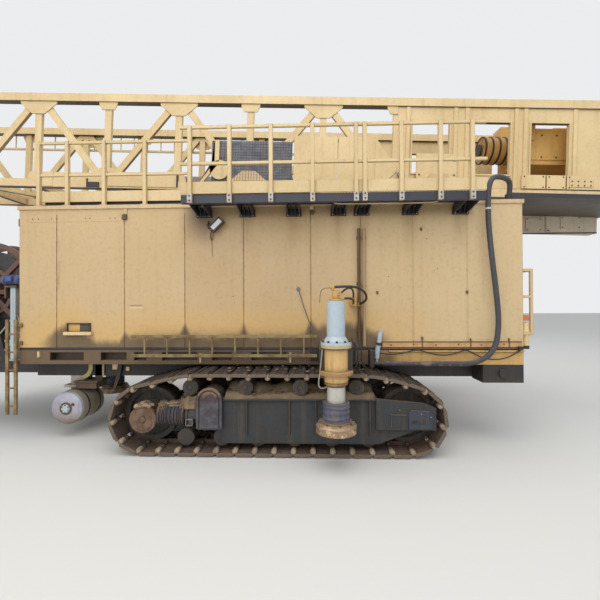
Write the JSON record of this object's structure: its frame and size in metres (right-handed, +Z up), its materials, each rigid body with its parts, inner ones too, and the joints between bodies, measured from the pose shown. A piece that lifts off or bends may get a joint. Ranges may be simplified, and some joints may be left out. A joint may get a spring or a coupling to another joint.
{
  "type": "crawler blasthole drilling rig",
  "caption": "Electric crawler blasthole drilling rig with its lattice mast lowered over a boxy machine house, hydraulic jacks, side walkway and cable reel.",
  "frame": {"origin": "on the ground, under the middle of the whole length and width", "axes": "+X to the drill end, +Y to the cab's side, +Z up"},
  "size_m": [14.8544, 5.4238, 6.4255],
  "materials": {
    "tan_paint": "faded tan paint, satin, dirty and streaked",
    "yellow_paint": "yellow paint, worn, oil stained",
    "dark_paint": "dark blue-black paint, dusty",
    "grey_blue_paint": "pale blue-grey paint, dusty",
    "track_steel": "brown dirt over worn steel",
    "muddy_paint": "paint under dried brown mud",
    "bare_steel": "worn bare steel",
    "rubber": "dusty dark rubber",
    "glass": "clear, dusty",
    "block_grey": "plain grey paint"
  },
  "bodies": {
    "platform": {"main_girders": "dark_paint", "cross_beams": "dark_paint", "deck_plate": "dark_paint", "side_beams": "yellow_paint", "jack_arms": "yellow_paint", "jack_housings": "yellow_paint", "house_wall_near": "tan_paint", "house_wall_far": "tan_paint", "house_wall_rear": "tan_paint", "well_lining": "tan_paint", "house_roof": "tan_paint", "compressor_block": "block_grey", "walkway": "dark_paint", "railings": "tan_paint", "service_pipes": "muddy_paint", "ladders": "muddy_paint", "front_landing": "tan_paint", "mast_towers": "tan_paint", "mast_rest": "dark_paint", "mast_cylinder_brackets": "dark_paint", "cab_shell": "tan_paint", "cab_glass": "glass", "cab_fittings": "rubber", "cab_landing": "yellow_paint", "track_near": "track_steel", "track_far": "track_steel", "track_wheels": "track_steel", "track_frames": "muddy_paint", "travel_drives": "muddy_paint", "axle_beams": "dark_paint", "reel_stand": "dark_paint", "air_receiver": "muddy_paint", "air_hose": "rubber", "hose_fittings": "bare_steel", "jack_valves": "yellow_paint", "jack_hose_upper": "rubber", "jack_hose_middle": "rubber", "jack_hose_lower": "rubber", "skirt_cable": "rubber"},
    "house_door": {"house_door": "tan_paint"},
    "jack_near": {"jack_ram_near": "bare_steel"},
    "jack_far": {"jack_ram_far": "bare_steel"},
    "jack_rear": {"jack_ram_rear": "bare_steel"},
    "mast": {"mast_lattice": "tan_paint", "mast_table": "tan_paint", "mast_crown": "tan_paint", "tong_frame": "tan_paint", "spare_rods": "bare_steel", "rod_cradles": "tan_paint"},
    "rotary_head": {"rotary_head": "yellow_paint"},
    "drill_spindle": {"drill_spindle": "bare_steel"},
    "cylinder_barrels": {"mast_cylinder_barrels": "grey_blue_paint"},
    "cylinder_rods": {"mast_cylinder_rods": "bare_steel"},
    "cab_door": {"cab_door": "tan_paint", "cab_door_glass": "glass"},
    "cable_reel": {"cable_reel": "muddy_paint"}
  },
  "joints": [
    {"name": "mast_hinge", "type": "hinge", "parent": "platform", "child": "mast", "pos_m": [3.61852, 0, 4.1], "axis": [0, 1, 0], "range_deg": [0, 87.8]},
    {"name": "cylinder_swing", "type": "hinge", "parent": "platform", "child": "cylinder_barrels", "pos_m": [2.66852, 0, 1.63], "axis": [0, 1, 0], "range_deg": [0, 29.91]},
    {"name": "cylinder_slide", "type": "slide", "parent": "cylinder_barrels", "child": "cylinder_rods", "axis": [-0.3496, 0, 0.9369], "range_m": [0, 1.875]},
    {"name": "head_slide", "type": "slide", "parent": "mast", "child": "rotary_head", "axis": [-0.9993, 0, 0.0384], "range_m": [0, 8]},
    {"name": "spindle_turn", "type": "hinge", "parent": "rotary_head", "child": "drill_spindle", "pos_m": [6.55285, 0, 4.93797], "axis": [0.9993, 0, -0.0384], "continuous": true},
    {"name": "jack_near_slide", "type": "slide", "parent": "platform", "child": "jack_near", "axis": [0, 0, -1], "range_m": [0, 0.48]},
    {"name": "jack_far_slide", "type": "slide", "parent": "platform", "child": "jack_far", "axis": [0, 0, -1], "range_m": [0, 0.48]},
    {"name": "jack_rear_slide", "type": "slide", "parent": "platform", "child": "jack_rear", "axis": [0, 0, -1], "range_m": [0, 0.395]},
    {"name": "house_door_hinge", "type": "hinge", "parent": "platform", "child": "house_door", "pos_m": [-3.14578, 0.314, 2.4], "axis": [0, 0, 1], "range_deg": [0, 110]},
    {"name": "cab_door_hinge", "type": "hinge", "parent": "platform", "child": "cab_door", "pos_m": [2.99252, 2.0743, 2.5], "axis": [0, 0, 1], "range_deg": [0, 95]},
    {"name": "reel_turn", "type": "hinge", "parent": "platform", "child": "cable_reel", "pos_m": [-4.08148, -0.88, 2.35], "axis": [0, 1, 0], "continuous": true}
  ],
  "couplings": [
    {"joint": "cylinder_swing", "follows": "mast_hinge", "ratio": 0.34057},
    {"joint": "cylinder_slide", "follows": "mast_hinge", "m_per_rad": 1.2233}
  ]
}
